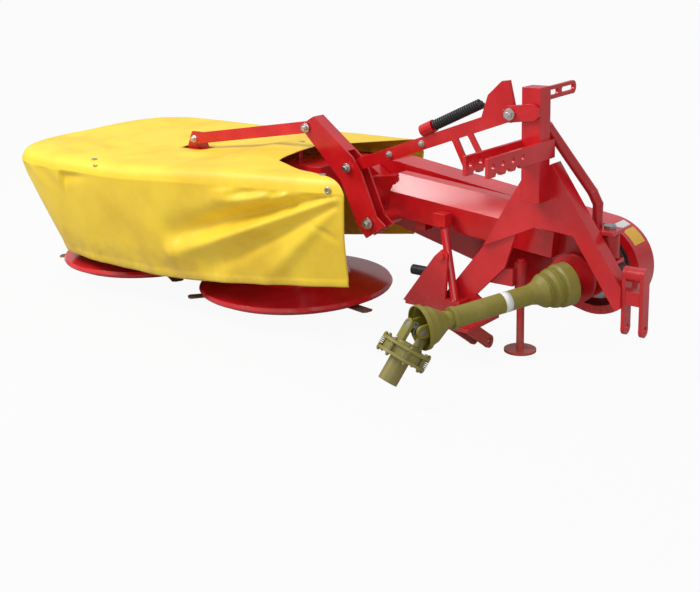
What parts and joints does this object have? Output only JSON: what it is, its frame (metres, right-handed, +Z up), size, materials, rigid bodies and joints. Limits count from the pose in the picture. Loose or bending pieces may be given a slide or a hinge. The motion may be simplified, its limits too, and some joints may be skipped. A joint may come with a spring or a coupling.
{
  "type": "drum mower",
  "caption": "Rear-mounted twin-drum mower with a yellow crop cover, red lift linkage and hitch frame, belt drive and a drive shaft with a torque clutch, parked on its stand",
  "frame": {"origin": "Centre of the bounding box on the ground", "axes": "+X to the hitch end, +Y away from the tractor, +Z up"},
  "size_m": [2.786, 1.1184, 0.952],
  "materials": {
    "red_paint": "glossy",
    "yellow_tarpaulin": "satin",
    "olive_plastic": "matte",
    "olive_paint": "satin",
    "bare_steel": "satin",
    "worn_steel": "satin",
    "black_plastic": "matte",
    "black_coat": "satin"
  },
  "bodies": {
    "headstock": {"mast": "red_paint", "mast_cheek": "red_paint", "gusset_plate": "red_paint", "left_leg": "red_paint", "right_leg": "red_paint", "left_hitch_clevis": "red_paint", "right_hitch_clevis": "red_paint", "top_link_bracket": "red_paint", "slotted_plate": "red_paint", "rear_brace": "red_paint", "kingpin_lugs": "red_paint", "kingpin": "bare_steel", "stay_tube": "red_paint", "latch_bracket": "red_paint", "latch_grip": "black_plastic", "stand_sleeve": "red_paint"},
    "stand": {"stand_leg": "red_paint"},
    "swing_carrier": {"carrier": "red_paint", "rear_yoke": "bare_steel"},
    "drive": {"drive_pulley": "bare_steel"},
    "boom": {"boom_beam": "red_paint", "belt_guard": "red_paint"},
    "lever": {"lift_lever": "red_paint"},
    "top_rod": {"upper_link": "red_paint", "link_spring": "black_coat"},
    "deck_rod": {"deck_link": "red_paint"},
    "deck": {"gear_beam": "red_paint", "deck_gearbox": "red_paint", "link_bracket": "red_paint", "cover_frame": "red_paint", "cover_posts": "red_paint", "cover": "yellow_tarpaulin"},
    "rotor_inner": {"drum_inner": "red_paint", "knives_inner": "worn_steel"},
    "rotor_outer": {"drum_outer": "red_paint", "knives_outer": "worn_steel"},
    "dish_inner": {"skid_inner": "worn_steel"},
    "dish_outer": {"skid_outer": "worn_steel"},
    "shaft_cross": {"rear_cross": "bare_steel"},
    "shaft_rear": {"shaft_tube_outer": "olive_plastic"},
    "shaft_front": {"shaft_tube_inner": "olive_plastic"},
    "clutch": {"front_cross": "bare_steel", "shaft_clutch": "olive_paint"}
  },
  "joints": [
    {"name": "stand_slide", "type": "slide", "parent": "headstock", "child": "stand", "axis": [0, 0, 1], "range_m": [0, 0.15]},
    {"name": "swing", "type": "hinge", "parent": "headstock", "child": "swing_carrier", "pos_m": [1.227, 0.17434, 0.412], "axis": [0, 0, -1], "range_deg": [0, 45]},
    {"name": "drive_spin", "type": "hinge", "parent": "swing_carrier", "child": "drive", "pos_m": [1.117, 0.22434, 0.29], "axis": [0, 1, 0], "continuous": true},
    {"name": "boom_lift", "type": "hinge", "parent": "swing_carrier", "child": "boom", "pos_m": [1.117, 0.21934, 0.29], "axis": [0, 1, 0], "range_deg": [-5.2, 1.2]},
    {"name": "deck_lift", "type": "hinge", "parent": "boom", "child": "deck", "pos_m": [0.267, 0.19434, 0.46], "axis": [0, 1, 0], "range_deg": [-3, 16]},
    {"name": "lever_pivot", "type": "hinge", "parent": "boom", "child": "lever", "pos_m": [0.375, 0.02034, 0.41], "axis": [0, 1, 0], "range_deg": [-3, 14]},
    {"name": "top_rod_pivot", "type": "hinge", "parent": "lever", "child": "top_rod", "pos_m": [0.284, 0.02034, 0.604], "axis": [0, 1, 0], "range_deg": [-13.6, 3]},
    {"name": "deck_rod_pivot", "type": "hinge", "parent": "lever", "child": "deck_rod", "pos_m": [0.095, 0.02034, 0.736], "axis": [0, 1, 0], "range_deg": [-1, 1]},
    {"name": "drum_spin", "type": "hinge", "parent": "deck", "child": "rotor_inner", "pos_m": [-0.078, 0.09434, 0.3], "axis": [0, 0, 1], "continuous": true},
    {"name": "drum_spin_outer", "type": "hinge", "parent": "deck", "child": "rotor_outer", "pos_m": [-0.928, 0.09434, 0.3], "axis": [0, 0, 1], "continuous": true},
    {"name": "dish_spin", "type": "hinge", "parent": "deck", "child": "dish_inner", "pos_m": [-0.078, 0.09434, 0.03], "axis": [0, 0, 1], "continuous": true},
    {"name": "dish_spin_outer", "type": "hinge", "parent": "deck", "child": "dish_outer", "pos_m": [-0.928, 0.09434, 0.03], "axis": [0, 0, 1], "continuous": true},
    {"name": "shaft_yaw", "type": "hinge", "parent": "swing_carrier", "child": "shaft_cross", "pos_m": [1.117, 0.03434, 0.29], "axis": [0, 0, 1], "range_deg": [0, 45]},
    {"name": "shaft_lift", "type": "hinge", "parent": "shaft_cross", "child": "shaft_rear", "pos_m": [1.117, 0.03434, 0.29], "axis": [-0.8988, 0.4384, 0], "range_deg": [-5, 20]},
    {"name": "shaft_slide", "type": "slide", "parent": "shaft_rear", "child": "shaft_front", "axis": [-0.436, -0.8939, -0.1045], "range_m": [0, 0.1]},
    {"name": "clutch_tilt", "type": "hinge", "parent": "shaft_front", "child": "clutch", "pos_m": [0.88812, -0.43494, 0.23512], "axis": [0.8988, -0.4384, 0], "range_deg": [-45, 5]}
  ],
  "couplings": [
    {"joint": "boom_lift", "follows": "deck_lift", "ratio": -0.316},
    {"joint": "lever_pivot", "follows": "deck_lift", "ratio": 0.85},
    {"joint": "top_rod_pivot", "follows": "deck_lift", "ratio": -0.825},
    {"joint": "deck_rod_pivot", "follows": "deck_lift", "ratio": 0.04},
    {"joint": "drum_spin_outer", "follows": "drum_spin", "ratio": -1},
    {"joint": "shaft_yaw", "follows": "swing", "ratio": 1}
  ]
}
